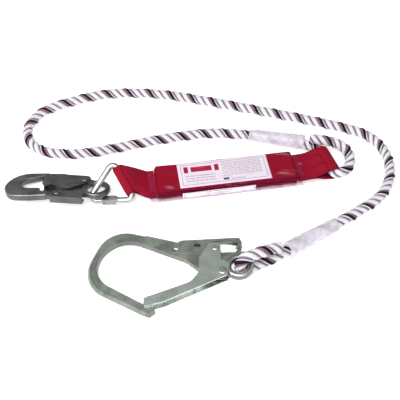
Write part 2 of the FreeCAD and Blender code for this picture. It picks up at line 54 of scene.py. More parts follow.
# ---------------------------------------------------------------- table and light
# A plain white table top under a large overhead softbox, with a smaller one to the left and a
# fill in front, as for a catalogue picture.
class Tone:
    """A value in a finish; sums and products of it become Math nodes in its tree."""

    def __init__(self, tree, socket=None):
        self.tree = tree
        self.socket = socket

    def node(self, kind, settings=(), sockets=(), output=0):
        """Any node: its settings are put first, then values or links into its sockets."""
        made = self.tree.nodes.new(kind)
        for name, value in dict(settings).items():
            if name == "stops":
                ramp = made.color_ramp
                while len(ramp.elements) < len(value):
                    ramp.elements.new(0.5)
                for stop, (place, colour) in zip(ramp.elements, value):
                    stop.position = place
                    stop.color = colour
            else:
                setattr(made, name, value)
        for name, value in dict(sockets).items():
            if isinstance(value, Tone):
                self.tree.links.new(value.socket, made.inputs[name])
            else:
                made.inputs[name].default_value = value
        return Tone(self.tree, made.outputs[output] if len(made.outputs) else None)

    def math(self, operation, *values):
        return self.node("ShaderNodeMath", {"operation": operation}, enumerate(values))

    def __add__(self, other):
        return self.math("ADD", self, other)

    def __sub__(self, other):
        return self.math("SUBTRACT", self, other)

    def __rsub__(self, other):
        return self.math("SUBTRACT", other, self)

    def __mul__(self, other):
        return self.math("MULTIPLY", self, other)

    __radd__ = __add__
    __rmul__ = __mul__

    def __gt__(self, other):
        return self.math("GREATER_THAN", self, other)

    def __lt__(self, other):
        return self.math("LESS_THAN", self, other)

    def smooth(self, low, high):
        """0 below `low`, 1 above `high`, eased between."""
        return self.node("ShaderNodeMapRange", {"interpolation_type": "SMOOTHSTEP"},
                         {"Value": self, "From Min": low, "From Max": high})

    def tint(self, first, second):
        """Colour between two, this value being the share of the second."""
        return self.node("ShaderNodeMix", {"data_type": "RGBA"},
                         {0: self, 6: first, 7: second}, 2)

    def bump(self, strength, distance, under=None):
        """Surface normal raised by this value, over another bump if there is one."""
        sockets = {"Height": self, "Strength": strength, "Distance": distance}
        if under is not None:
            sockets["Normal"] = under
        return self.node("ShaderNodeBump", {}, sockets)


def new_finish(name):
    """Empty material, and a Tone to start its nodes from."""
    material = bpy.data.materials.new(name)
    material.use_nodes = True
    material.node_tree.nodes.clear()
    return material, Tone(material.node_tree)


def close_finish(tone, shader):
    tone.node("ShaderNodeOutputMaterial", {}, {"Surface": shader})


def place_of(tone):
    return tone.node("ShaderNodeTexCoord", {}, {}, 3)


def noise(tone, where, scale, detail=3.0, roughness=0.55):
    return tone.node("ShaderNodeTexNoise", {},
                     {"Vector": where, "Scale": scale, "Detail": detail, "Roughness": roughness})


def wear(obj, material):
    obj.data.materials.clear()
    obj.data.materials.append(material)


table_paint, tone = new_finish("table_paint")
grain = noise(tone, place_of(tone), 9.0)
close_finish(tone, tone.node("ShaderNodeBsdfPrincipled", {}, {
    "Base Color": grain.tint((0.93, 0.93, 0.93, 1), (0.97, 0.97, 0.97, 1)),
    "Roughness": 0.85, "Emission Color": (1, 1, 1, 1), "Emission Strength": 0.5}))
bpy.ops.object.select_all(action="DESELECT")
bpy.ops.mesh.primitive_plane_add(size=8.0, location=(0, 0, -0.0004))
table = bpy.context.object
table.name = "table_top"
bpy.ops.object.transform_apply(location=True, rotation=True, scale=True)
wear(table, table_paint)

world = bpy.data.worlds.new("room")
bpy.context.scene.world = world
world.use_nodes = True
room_light = Tone(world.node_tree)
way_out = room_light.node("ShaderNodeSeparateXYZ", {}, {
    0: room_light.node("ShaderNodeTexCoord", {}, {}, 0)})
depth = Tone(world.node_tree, way_out.socket.node.outputs[1])
backdrop = depth.smooth(-0.35, 0.65).tint((0.92, 0.90, 0.96, 1), (0.44, 0.475, 0.45, 1))
world.node_tree.links.new(backdrop.socket, world.node_tree.nodes["Background"].inputs[0])
world.node_tree.nodes["Background"].inputs[1].default_value = 0.62


def softbox(name, place, towards, width, height, power):
    bpy.ops.object.light_add(type="AREA", location=place)
    lamp = bpy.context.object
    lamp.name = name
    lamp.data.shape = "RECTANGLE"
    lamp.data.size = width
    lamp.data.size_y = height
    lamp.data.energy = power
    aim = Vector(towards) - Vector(place)
    lamp.rotation_euler = aim.to_track_quat("-Z", "Y").to_euler()


softbox("overhead_softbox", (-0.45, -0.55, 1.5), (0, 0.03, 0), 1.2, 0.9, 19)
softbox("left_softbox", (-1.4, -0.5, 1.0), (0, 0, 0), 0.7, 0.7, 7)
softbox("front_fill", (0.5, -1.5, 0.8), (0, 0, 0), 1.0, 0.6, 3)

# ---------------------------------------------------------------- rope
# Three-strand laid polyamide rope, 14 mm, right-hand lay, white with a dark tracer yarn in one
# strand. It runs from the absorber's eye along the table to the eye in the large hook.
ROPE_THICK = 0.014
LAY = 0.0305
STRAND_SEAT = 0.485              # strand centres and sections, in shares of the rope's radius
STRAND_SECTION = (0.60, 0.51)
STRAND_SIDES = 16
STRAND_STEP = 0.00125
NEXT_STRAND = 1000               # added to the UV of each further strand, to tell them apart
YARNS = 11
FULL_TURN = 6.2832
ROUTE = [
    (0.1745, 0.133, 0.0246), (0.1891, 0.1304, 0.0245), (0.2101, 0.1279, 0.0225),
    (0.2246, 0.1154, 0.018), (0.2251, 0.0989, 0.014), (0.2161, 0.0859, 0.0115),
    (0.2021, 0.0844, 0.0102), (0.1944, 0.1084, 0.01), (0.1838, 0.136, 0.0115),
    (0.0618, 0.1642, 0.0073), (0.0018, 0.1547, 0.0073), (-0.0562, 0.1397, 0.0073),
    (-0.1132, 0.1227, 0.0073), (-0.1532, 0.1212, 0.0073), (-0.1822, 0.1292, 0.0073),
    (-0.2012, 0.1512, 0.0073), (-0.2012, 0.1812, 0.0073), (-0.1852, 0.2062, 0.0073),
    (-0.1532, 0.2232, 0.0073), (-0.1062, 0.2407, 0.0073), (-0.0532, 0.2432, 0.0073),
    (-0.0032, 0.2367, 0.0073), (0.0768, 0.2157, 0.0073), (0.1568, 0.1937, 0.0073),
    (0.2138, 0.1762, 0.0073), (0.2578, 0.1592, 0.0073), (0.2763, 0.1282, 0.0073),
    (0.2773, 0.0902, 0.0073), (0.2613, 0.0522, 0.0073), (0.2318, 0.0287, 0.0073),
    (0.1238, -0.0415, 0.0107), (0.1028, -0.0515, 0.0075), (0.0763, -0.0641, 0.0075),
    (0.0763, -0.0641, 0.0326), (0.1008, -0.0525, 0.0318), (0.1228, -0.042, 0.0263)]


def spline_points(route):
    """Points of the smooth line that a rope laid along `route` takes."""
    curve = bpy.data.curves.new("lay_line", "CURVE")
    curve.dimensions = "3D"
    spline = curve.splines.new("NURBS")
    spline.points.add(len(route) - 1)
    for point, place in zip(spline.points, route):
        point.co = (*place, 1.0)
    spline.order_u = 3
    spline.use_endpoint_u = True
    spline.resolution_u = 24
    holder = bpy.data.objects.new("lay_line", curve)
    bpy.context.scene.collection.objects.link(holder)
    drawn = bpy.data.meshes.new_from_object(holder)
    line = np.array([vertex.co for vertex in drawn.vertices])
    bpy.data.objects.remove(holder)
    bpy.data.meshes.remove(drawn)
    return line


def even_steps(line, step):
    """The same line, with points `step` apart along it."""
    gone = np.concatenate([[0], np.cumsum(np.linalg.norm(np.diff(line, axis=0), axis=1))])
    marks = np.linspace(0, gone[-1], int(gone[-1] / step) + 1)
    return np.stack([np.interp(marks, gone, line[:, axis]) for axis in range(3)], 1), marks


def carried_frames(line):
    """A pair of cross directions at each point, carried along without twisting."""
    ahead = np.gradient(line, axis=0)
    ahead /= np.linalg.norm(ahead, axis=1)[:, None]
    side = np.cross(ahead[0], (0, 0, 1.0))
    sides = []
    for way in ahead:
        side = side - way * side.dot(way)
        side /= np.linalg.norm(side)
        sides.append(side)
    sides = np.array(sides)
    return sides, np.cross(ahead, sides)


def tube_mesh(name, rings, across, along):
    """Tubes through rings of points, with a UV map: `across` and `along` per ring point."""
    corners, faces, marks = [], [], []
    for grid, a_values, s_values in zip(rings, across, along):
        base = len(corners)
        count, around = grid.shape[:2]
        corners.extend(grid.reshape(-1, 3).tolist())
        for ring in range(count - 1):
            for step in range(around):
                after = (step + 1) % around
                faces.append((base + ring * around + step, base + ring * around + after,
                              base + (ring + 1) * around + after,
                              base + (ring + 1) * around + step))
                turn = 1.0 if after == 0 else 0.0
                marks.extend([
                    (a_values[ring, step], s_values[ring]),
                    (a_values[ring, after] + turn, s_values[ring]),
                    (a_values[ring + 1, after] + turn, s_values[ring + 1]),
                    (a_values[ring + 1, step], s_values[ring + 1])])
        for ring, order in ((0, -1), (count - 1, 1)):
            faces.append(tuple(base + ring * around + step for step in range(around))[::order])
            marks.extend([(a_values[ring, 0], s_values[ring])] * around)
    mesh = bpy.data.meshes.new(name)
    mesh.from_pydata(corners, [], faces)
    layer = mesh.uv_layers.new(name="lay")
    layer.data.foreach_set("uv", np.array(marks, np.float32).ravel())
    obj = bpy.data.objects.new(name, mesh)
    bpy.context.scene.collection.objects.link(obj)
    mesh.shade_smooth()
    return obj


def laid_strands(name, line, thick, lay, seat, section, step, grow=None, start=0.0):
    """Three strands laid round `line`; the UV holds the turn on the strand, and lays gone."""
    points, marks = even_steps(line, step)
    side, up = carried_frames(points)
    radius = thick / 2
    scale = np.ones(len(points)) if grow is None else grow(marks / marks[-1])
    rings, across, along = [], [], []
    for strand in range(3):
        turn = 2 * math.pi * (marks / lay + start + strand / 3)
        out = side * np.cos(turn)[:, None] + up * np.sin(turn)[:, None]
        round_way = -side * np.sin(turn)[:, None] + up * np.cos(turn)[:, None]
        steps = np.arange(STRAND_SIDES) / STRAND_SIDES * 2 * math.pi
        wide, high = section
        middle = points + out * (radius * seat * scale)[:, None]
        reach = (radius * scale)[:, None, None]
        grid = (middle[:, None] + out[:, None] * (np.cos(steps)[None, :, None] * high * reach)
                + round_way[:, None] * (np.sin(steps)[None, :, None] * wide * reach))
        rings.append(grid)
        across.append(steps[None] / (2 * math.pi) + np.zeros((len(points), 1)))
        along.append(marks / lay + strand * NEXT_STRAND)
    return tube_mesh(name, rings, across, along)


rope_line = spline_points(ROUTE)
rope = laid_strands("rope_strands", rope_line, ROPE_THICK, LAY, STRAND_SEAT, STRAND_SECTION,
                    STRAND_STEP)

rope_fibre, tone = new_finish("rope_fibre")
spread = tone.node("ShaderNodeUVMap", {"uv_map": "lay"})
turned = tone.node("ShaderNodeSeparateXYZ", {}, {0: spread})
gone = Tone(tone.tree, turned.socket.node.outputs[1])
strand_one = gone < NEXT_STRAND / 2
yarns = tone.math("SINE", (turned + gone) * (FULL_TURN * YARNS))
dark_yarn = tone.math("COSINE", (turned - 0.03) * FULL_TURN)
red_yarn = tone.math("COSINE", (turned - 0.21) * FULL_TURN)
outward = tone.math("COSINE", turned * FULL_TURN)
tracer = strand_one * dark_yarn.smooth(0.58, 0.72)
red_line = strand_one * red_yarn.smooth(0.965, 0.985)
fuzz = noise(tone, place_of(tone), 900.0, 4.0)
soil = noise(tone, place_of(tone), 38.0)
# Painted shade: each strand is painted grey-lilac on its flanks and inner side, where it turns
# into the grooves between the strands.
painted_groove_shade = outward.smooth(-0.05, 0.80)
white = painted_groove_shade.tint((0.26, 0.22, 0.28, 1), (0.86, 0.84, 0.87, 1))
soiled = (soil.smooth(0.5, 0.8) * 0.35).tint(white, (0.72, 0.70, 0.72, 1))
marked = tracer.tint(soiled, (0.016, 0.002, 0.008, 1))
marked = (red_line * 0.8).tint(marked, (0.34, 0.03, 0.07, 1))
ridges = yarns.bump(0.55, 0.0005)
close_finish(tone, tone.node("ShaderNodeBsdfPrincipled", {}, {
    "Base Color": marked, "Roughness": 0.72, "Specular IOR Level": 0.2,
    "Normal": fuzz.bump(0.5, 0.0003, ridges)}))
wear(rope, rope_fibre)
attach(rope, "lanyard")
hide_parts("rope")

# ---------------------------------------------------------------- spliced ends
# Each eye is closed by tucking its three strands back into the rope; the tucks taper off along
# the rope and are covered by a milky shrunk plastic tube.
TUCKS_THICK = 0.0168
TUCKS_LAY = 0.036
TUCKS_SEAT = 0.52
TUCKS_SECTION = (0.50, 0.44)
TUBE_EYE_RADIUS = 0.0103
TUBE_TAPER = 0.0021
TUBE_RINGS = 60
TUBE_SIDES = 48
SPLICES = {                      # eye end, onward point, where the tube starts and stops
    "absorber_eye": (Vector(ROUTE[8]), Vector(ROUTE[9]), 0.014, 0.088),
    "hook_eye": (Vector(ROUTE[30]), Vector(ROUTE[29]), 0.012, 0.084)}

shrink_film, tone = new_finish("shrink_film")
where = place_of(tone)
lumps = noise(tone, where, 210.0, 2.0)
streaks = noise(tone, where, 55.0, 4.0)
skin = tone.node("ShaderNodeBsdfPrincipled", {}, {
    "Base Color": lumps.tint((0.80, 0.73, 0.84, 1), (0.97, 0.94, 0.98, 1)), "Roughness": 0.26,
    "Specular IOR Level": 0.6, "Normal": lumps.bump(0.55, 0.0009)})
through = tone.node("ShaderNodeBsdfTransparent", {}, {"Color": (0.95, 0.93, 0.97, 1)})
close_finish(tone, tone.node("ShaderNodeMixShader", {}, {
    0: streaks.smooth(0.25, 0.75) * 0.25 + 0.52, 1: through, 2: skin}))

for end, (eye, onward, first, last) in SPLICES.items():
    way = (onward - eye).normalized()
    run = [list(eye + way * gone) for gone in (first + 0.0015, (first + last) / 2, last - 0.006)]
    tucks = laid_strands("splice_tucks_" + end, np.array(run), TUCKS_THICK, TUCKS_LAY, TUCKS_SEAT,
                         TUCKS_SECTION, 0.001, lambda share: 1.10 - 0.22 * share, 0.3)
    wear(tucks, rope_fibre)
    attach(tucks, "lanyard")
    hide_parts("splice_" + end)

    length = last - first
    stations = np.linspace(0, 1, TUBE_RINGS)
    turns = np.arange(TUBE_SIDES) / TUBE_SIDES * 2 * math.pi
    side = way.cross(Vector((0, 0, 1))).normalized()
    rise = side.cross(way)
    base = np.array(eye + way * first)
    rings = []
    for share in stations:
        closing = 1.0 - 0.10 * math.exp(-share * 26) - 0.07 * math.exp(-(1 - share) * 22)
        trilobe = 1.0 + 0.035 * np.cos(
            3 * (turns - share * length / TUCKS_LAY * 2 * math.pi))
        radius = (TUBE_EYE_RADIUS - TUBE_TAPER * share) * closing * trilobe
        middle = base + np.array(way) * (share * length)
        rings.append(middle + np.outer(radius * np.cos(turns), side)
                     + np.outer(radius * np.sin(turns), rise))
    sleeve = tube_mesh("shrink_tube_" + end, [np.array(rings)],
                       [np.tile(turns / (2 * math.pi), (TUBE_RINGS, 1))],
                       [stations * length])
    wear(sleeve, shrink_film)
    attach(sleeve, "lanyard")
    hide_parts("shrink_sleeve_" + end)

# ---------------------------------------------------------------- tear webbing and strap loops
# Crimson 45 mm polyester webbing. The absorber is one strap folded to and fro in eight layers;
# from each end of it a doubled strap runs out, round the link's bar or the rope, and back.
STRAP_WIDE = 0.0438
STRAP_THICK = 0.0021
LAYERS = 8
PITCH = 0.00245
STACK_HALF = 0.0866
STACK_LOW = 0.0016
TAIL_LEVEL = 0.012
RIB = 0.0017
PICK = 0.0012
PACK_TURN = Matrix.Translation((0.0638, 0.0787, 0)) @ Matrix.Rotation(math.radians(8.8), 4, "Z")
ACROSS_PACK = (PACK_TURN.to_3x3() @ Vector((0, 1, 0))).normalized()


def strap_mesh(name, stations, cells=28):
    """Flat strap through stations (middle, across, up, width, thick, ripple)."""
    shares = np.linspace(-1, 1, cells + 1)
    belly = np.sqrt(np.clip(1 - np.abs(shares) ** 14, 0, 1)) * 0.75 + 0.25
    rings, along, gone, before = [], [], 0.0, None
    for middle, across, up, width, thick, ripple in stations:
        middle, across, up = np.array(middle), np.array(across), np.array(up)
        gone += 0.0 if before is None else float(np.linalg.norm(middle - before))
        before = middle
        wave = ripple(shares) if ripple else np.zeros(cells + 1)
        lower = middle + np.outer(shares * width / 2, across) + np.outer(
            wave - belly * thick / 2, up)
        upper = middle + np.outer(shares * width / 2, across) + np.outer(
            wave + belly * thick / 2, up)
        rings.append(np.concatenate([lower, upper[::-1]]))
        along.append(gone)
    grid = np.array(rings)
    flat = np.concatenate([shares, shares[::-1]]) * STRAP_WIDE / 2
    count, around = grid.shape[:2]
    faces, marks = [], []
    for ring in range(count - 1):
        for step in range(around):
            after = (step + 1) % around
            faces.append((ring * around + step, ring * around + after,
                          (ring + 1) * around + after, (ring + 1) * around + step))
            marks.extend([(flat[step], along[ring]), (flat[after], along[ring]),
                          (flat[after], along[ring + 1]), (flat[step], along[ring + 1])])
    for ring, order in ((0, -1), (count - 1, 1)):
        faces.append(tuple(ring * around + step for step in range(around))[::order])
        marks.extend([(flat[step], along[ring]) for step in range(around)][::order])
    mesh = bpy.data.meshes.new(name)
    mesh.from_pydata(grid.reshape(-1, 3).tolist(), [], faces)
    layer = mesh.uv_layers.new(name="strap")
    layer.data.foreach_set("uv", np.array(marks, np.float32).ravel())
    obj = bpy.data.objects.new(name, mesh)
    bpy.context.scene.collection.objects.link(obj)
    bpy.ops.object.select_all(action="DESELECT")
    obj.select_set(True)
    bpy.context.view_layer.objects.active = obj
    bpy.ops.object.mode_set(mode="EDIT")
    bpy.ops.mesh.select_all(action="SELECT")
    bpy.ops.mesh.normals_make_consistent(inside=False)
    bpy.ops.object.mode_set(mode="OBJECT")
    bpy.ops.object.shade_smooth_by_angle(angle=math.radians(50))
    return obj


webbing, tone = new_finish("crimson_webbing")
spread = tone.node("ShaderNodeUVMap", {"uv_map": "strap"})
aside = tone.node("ShaderNodeSeparateXYZ", {}, {0: spread})
down = Tone(tone.tree, aside.socket.node.outputs[1])
ribs = tone.math("SINE", aside * (FULL_TURN / RIB))
weft = tone.math("SINE", down * (FULL_TURN / PICK) + ribs.smooth(-0.2, 0.2) * (FULL_TURN / 2))
weave = ribs * 0.5 + weft * 0.5
edge = tone.math("ABSOLUTE", aside).smooth(0.0192, 0.0206)
cloud = noise(tone, place_of(tone), 45.0)
fuzz = noise(tone, place_of(tone), 1400.0, 4.0)
cloth = weave.smooth(-1.0, 0.8).tint((0.20, 0.0002, 0.010, 1), (0.42, 0.0004, 0.024, 1))
faded = (cloud.smooth(0.45, 0.8) * 0.45).tint(cloth, (0.32, 0.0004, 0.045, 1))
bordered = (edge * 0.6).tint(faded, (0.16, 0.001, 0.035, 1))
close_finish(tone, tone.node("ShaderNodeBsdfPrincipled", {}, {
    "Base Color": bordered, "Roughness": fuzz * 0.15 + 0.60, "Specular IOR Level": 0.2,
    "Normal": fuzz.bump(0.35, 0.0002, weave.bump(0.6, 0.0004))}))

stations = []
for layer in range(LAYERS):
    height = STACK_LOW + PITCH * (layer + 0.5)
    onward = 1 if layer % 2 == 0 else -1
    for mark in np.linspace(-onward, onward, 38):
        sway = 0.0005 * math.sin(7.0 * mark + 2.1 * layer)
        stations.append((PACK_TURN @ Vector((STACK_HALF * mark, sway, height)), ACROSS_PACK,
                         (0, 0, 1), STRAP_WIDE, STRAP_THICK, None))
    if layer == LAYERS - 1:
        break
    for swing in np.radians(np.linspace(15, 165, 7)):
        out, rise = onward * math.sin(swing), -math.cos(swing)
        fold = Vector((onward * STACK_HALF + out * PITCH / 2, 0,
                       height + PITCH / 2 + rise * PITCH / 2))
        up = PACK_TURN.to_3x3() @ Vector((-out, 0, -rise))
        stations.append((PACK_TURN @ fold, ACROSS_PACK, up, STRAP_WIDE, STRAP_THICK, None))
stack = strap_mesh("folded_tear_webbing", stations, 20)
wear(stack, webbing)
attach(stack, "lanyard")
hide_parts("tear_webbing_stack")


def puckered(amount):
    """Height of the strap's surface over its width, from -1 to 1, where it is scrunched."""
    def ripple(shares):
        return amount * (np.cos(shares * 9.0 + 1) - 0.4) * (1 - shares ** 4)
    return ripple


def strap_round(name, pack_side, heart, way, bore, narrow, puckers):
    """Doubled strap from the pack, round a bar or rope through `heart`, and back."""
    inner = PACK_TURN @ Vector((pack_side * 0.0893, 0, TAIL_LEVEL))
    mouth = PACK_TURN @ Vector((pack_side * 0.097, 0, TAIL_LEVEL))
    onward = heart - mouth
    onward = (onward - way * onward.dot(way)).normalized()
    normal = onward.cross(way).normalized()
    normal = normal if normal.z > 0 else -normal
    radius = bore + STRAP_THICK * 0.55
    leg_end = heart - onward * (radius * 0.9)
    stops = [(inner.lerp(mouth, share), ACROSS_PACK, Vector((0, 0, 1)), STRAP_WIDE, 0.0)
             for share in np.linspace(0, 1, 8)]
    for share in np.linspace(0.05, 1, 22):
        ease = share * share * (3 - 2 * share)
        across = ACROSS_PACK.lerp(way, ease).normalized()
        up = Vector((0, 0, 1)).lerp(normal, ease)
        up = (up - across * up.dot(across)).normalized()
        width = STRAP_WIDE + (narrow - STRAP_WIDE) * ease
        stops.append((mouth.lerp(leg_end, share), across, up, width, ease))
    stations = []
    for face, run in ((-1, stops), (1, stops[::-1])):
        for middle, across, up, width, ease in run:
            spreading = STRAP_THICK * 0.56 + (radius * 0.62) * ease ** 3
            stations.append((middle + up * (face * spreading), across, up * -face, width,
                             STRAP_THICK, puckered(puckers * ease)))
        if face < 0:
            for swing in np.radians(np.linspace(-125, 125, 21)):
                spoke = onward * math.cos(swing) + normal * math.sin(swing)
                stations.append((heart + spoke * radius, way, spoke, narrow, STRAP_THICK, None))
    return strap_mesh(name, stations)


bar_way = Vector((-0.4985, 0.7231, 0.4782)).normalized()
near_loop = strap_round("link_strap", -1, Vector((-0.0622, 0.0632, 0.021)), bar_way, 0.00435,
                        0.0385, 0.0003)
wear(near_loop, webbing)
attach(near_loop, "lanyard")
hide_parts("hook_end_loop")

rope_way = Vector((-0.3124, 0.95, 0.0032)).normalized()
far_loop = strap_round("rope_strap", 1, Vector((0.19565, 0.10415, 0.01025)), rope_way, 0.0078,
                       0.0430, 0.0011)
wear(far_loop, webbing)
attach(far_loop, "lanyard")
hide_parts("rope_end_loop")

# ---------------------------------------------------------------- tacks
# Dense zigzag bar tacks of crimson thread that sew each doubled strap to the folded webbing.
thread_fibre, tone = new_finish("tack_thread")
twist = tone.math("SINE", noise(tone, place_of(tone), 700.0) * 40.0)
close_finish(tone, tone.node("ShaderNodeBsdfPrincipled", {}, {
    "Base Color": twist.smooth(-1.0, 1.0).tint((0.25, 0.001, 0.03, 1), (0.62, 0.01, 0.10, 1)),
    "Roughness": 0.5, "Normal": twist.bump(0.4, 0.0002)}))
TACK_AT = 0.093
TACK_ROWS = 4
ROW_PITCH = 0.0021
STITCHES = 37
STITCH_PITCH = 0.00093
STITCH_REACH = 0.0009
THREAD_RADIUS = 0.00042
TACK_LEVEL = 0.0151
for end, pack_side in (("hook_end", -1), ("rope_end", 1)):
    rings, across, along = [], [], []
    for row in range(TACK_ROWS):
        corners = []
        for stitch in range(STITCHES):
            zigzag = STITCH_REACH if stitch % 2 else -STITCH_REACH
            local = Vector((pack_side * TACK_AT + (row - 1.5) * ROW_PITCH + zigzag,
                            -0.0168 + stitch * STITCH_PITCH, TACK_LEVEL))
            corners.append(list(PACK_TURN @ local))
        line, marks = even_steps(np.array(corners), 0.0007)
        side, rise = carried_frames(line)
        steps = np.arange(6) / 6 * 2 * math.pi
        rings.append(line[:, None]
                     + side[:, None] * (np.cos(steps)[None, :, None] * THREAD_RADIUS)
                     + rise[:, None] * (np.sin(steps)[None, :, None] * THREAD_RADIUS))
        across.append(np.tile(steps / (2 * math.pi), (len(line), 1)))
        along.append(marks)
    tack = tube_mesh("bar_tack_" + end, rings, across, along)
    wear(tack, thread_fibre)
    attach(tack, "lanyard")
    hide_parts(end + "_tack")

# ---------------------------------------------------------------- labels
# Printed white labels under the film: a large one on top with a thin border, a plain crimson
# block and grey rules in place of text, and a narrow one along the near edge.


def sheet_mesh(name, corner, run, fall, drape, cells, thick):
    """Thin printed sheet; its UV runs in metres from its corner."""
    columns, rows = cells
    length, width = run.length, fall.length
    out = run.cross(fall).normalized()
    points, marks = [], []
    for side in (0, 1):
        for row in range(rows + 1):
            for column in range(columns + 1):
                u, v = column / columns, row / rows
                points.append(corner + run * u + fall * v + out * (drape(u, v) + thick * side))
    faces, uv = [], []
    stride = columns + 1
    layer_size = stride * (rows + 1)
    for side in (0, 1):
        for row in range(rows):
            for column in range(columns):
                a = side * layer_size + row * stride + column
                ring = [(a, column, row), (a + 1, column + 1, row),
                        (a + stride + 1, column + 1, row + 1), (a + stride, column, row + 1)]
                ring = ring if side else ring[::-1]
                faces.append(tuple(item[0] for item in ring))
                uv.extend([(item[1] / columns * length, item[2] / rows * width) for item in ring])
    rim = ([(column, 0) for column in range(columns)]
           + [(columns, row) for row in range(rows)]
           + [(column, rows) for column in range(columns, 0, -1)]
           + [(0, row) for row in range(rows, 0, -1)])
    for place, after in zip(rim, rim[1:] + rim[:1]):
        a, b = place[1] * stride + place[0], after[1] * stride + after[0]
        faces.append((a, b, b + layer_size, a + layer_size))
        uv.extend([(0.0002, 0.0002)] * 4)
    mesh = bpy.data.meshes.new(name)
    mesh.from_pydata([list(point) for point in points], [], faces)
    layer = mesh.uv_layers.new(name="print")
    layer.data.foreach_set("uv", np.array(uv, np.float32).ravel())
    mesh.shade_smooth()
    obj = bpy.data.objects.new(name, mesh)
    bpy.context.scene.collection.objects.link(obj)
    return obj


def inside(tone, u, v, box, soft=0.00015):
    """1 inside a box of the print, 0 outside, with a slightly soft edge."""
    left, low, right, high = box
    return (u.smooth(left - soft, left + soft) * (1 - u.smooth(right - soft, right + soft))
            * v.smooth(low - soft, low + soft) * (1 - v.smooth(high - soft, high + soft)))


def printed_finish(name, frame_box, blocks, rules):
    """White print with a border, plain blocks, and rows of grey rules (box, pitch, strength)."""
    made, tone = new_finish(name)
    u = tone.node("ShaderNodeSeparateXYZ", {}, {
        0: tone.node("ShaderNodeUVMap", {"uv_map": "print"})})
    v = Tone(tone.tree, u.socket.node.outputs[1])
    paper = noise(tone, place_of(tone), 70.0).tint((0.84, 0.78, 0.86, 1), (0.92, 0.88, 0.93, 1))
    left, low, right, high = frame_box
    line = inside(tone, u, v, frame_box) * (1 - inside(
        tone, u, v, (left + 0.0005, low + 0.0005, right - 0.0005, high - 0.0005)))
    colour = (line * 0.95).tint(paper, (0.12, 0.12, 0.13, 1))
    for box, paint in blocks:
        colour = inside(tone, u, v, box).tint(colour, paint)
    for box, pitch, share in rules:
        words = noise(tone, tone.node("ShaderNodeCombineXYZ", {}, {
            0: u * 420.0, 1: tone.math("FLOOR", v * (1 / pitch)) * 7.0}), 1.0, 1.0)
        bars = tone.math("SINE", v * (FULL_TURN / pitch)) > 0.25
        colour = (inside(tone, u, v, box) * bars * words.smooth(0.36, 0.5) * share).tint(
            colour, (0.20, 0.17, 0.22, 1))
    close_finish(tone, tone.node("ShaderNodeBsdfPrincipled", {}, {
        "Base Color": colour, "Roughness": 0.38}))
    return made


MAROON = (0.42, 0.004, 0.06, 1)
DARK_GREY = (0.08, 0.06, 0.08, 1)
top_print = printed_finish("top_label_print", (0.004, 0.0035, 0.111, 0.0375), [
    ((0.0075, 0.0235, 0.0130, 0.034), MAROON), ((0.0165, 0.0245, 0.0430, 0.033), MAROON),
    ((0.0465, 0.0235, 0.0520, 0.034), MAROON), ((0.055, 0.006, 0.062, 0.0095), DARK_GREY)],
    [((0.008, 0.006, 0.046, 0.021), 0.0042, 0.5), ((0.056, 0.0115, 0.106, 0.035), 0.0026, 0.6),
     ((0.065, 0.006, 0.082, 0.009), 0.003, 0.8)])
corner = PACK_TURN @ Vector((-0.0595, -0.0205, 0.02135))
run = PACK_TURN.to_3x3() @ Vector((0.115, 0, 0))
fall = PACK_TURN.to_3x3() @ Vector((0, 0.041, 0))
label = sheet_mesh("top_label", corner, run, fall, lambda u, v: 0.00025 * math.sin(9 * u + 2 * v)
                   * math.sin(math.pi * v) + 0.0003, (60, 24), 0.0002)
wear(label, top_print)
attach(label, "lanyard")
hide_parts("rating_label")

edge_print = printed_finish("edge_label_print", (0.0015, 0.001, 0.0905, 0.008), [],
                            [((0.03, 0.0015, 0.062, 0.0075), 0.003, 0.7)])
corner = PACK_TURN @ Vector((-0.0575, -0.02395, 0.007))
run = PACK_TURN.to_3x3() @ Vector((0.092, 0, 0))
side_label = sheet_mesh("side_label", corner, run, Vector((0, 0, 0.009)),
                        lambda u, v: 0.0002 * math.sin(11 * u), (50, 6), 0.0002)
wear(side_label, edge_print)
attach(side_label, "lanyard")
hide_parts("edge_label")

# ---------------------------------------------------------------- film wrap
# Clear plastic tube shrunk over the folded webbing. It hugs the stack along the middle, stands
# off a little at the near side and is creased and open at both ends.
FILM_HALF_LONG = 0.0978
FILM_HALF_WIDE = 0.0247
FILM_HALF_HIGH = 0.0118
SQUARENESS = 2 / 5.5
FILM_RINGS = 121
FILM_SIDES = 96
turns = np.arange(FILM_SIDES) / FILM_SIDES * 2 * math.pi
rings = []
for share in np.linspace(-1, 1, FILM_RINGS):
    ends = abs(share) ** 10
    half_wide = FILM_HALF_WIDE - 0.0007 * ends
    half_high = FILM_HALF_HIGH - 0.0008 * ends
    crease = (0.00030 * np.sin(5 * turns + 26 * share) + 0.00022 * np.sin(9 * turns - 41 * share)
              + ends * 0.0007 * np.sin(6 * turns + 3 * share))
    cosine, sine = np.cos(turns), np.sin(turns)
    across_out = np.sign(cosine) * np.abs(cosine) ** SQUARENESS * (half_wide + crease - 0.0005)
    up_out = np.sign(sine) * np.abs(sine) ** SQUARENESS * (half_high + crease * 0.6 - 0.0003)
    rings.append([list(PACK_TURN @ Vector((FILM_HALF_LONG * share, y, TAIL_LEVEL + z)))
                  for y, z in zip(across_out, up_out)])
outer = np.array(rings)
heart = outer.mean(axis=1, keepdims=True)
inner = heart + (outer - heart) * 0.985
skin = tube_mesh("film_skin", [np.concatenate([outer, inner[::-1]])],
                 [np.tile(turns / (2 * math.pi), (2 * FILM_RINGS, 1))],
                 [np.arange(2 * FILM_RINGS) * 0.0016])
bpy.ops.object.select_all(action="DESELECT")
skin.select_set(True)
bpy.context.view_layer.objects.active = skin
bpy.ops.object.mode_set(mode="EDIT")
bpy.ops.mesh.select_mode(type="FACE")
bpy.ops.object.mode_set(mode="OBJECT")
for face in skin.data.polygons:
    face.select = len(face.vertices) > 4
bpy.ops.object.mode_set(mode="EDIT")
bpy.ops.mesh.delete(type="ONLY_FACE")
bpy.ops.mesh.select_all(action="DESELECT")
bpy.ops.mesh.select_mode(type="EDGE")
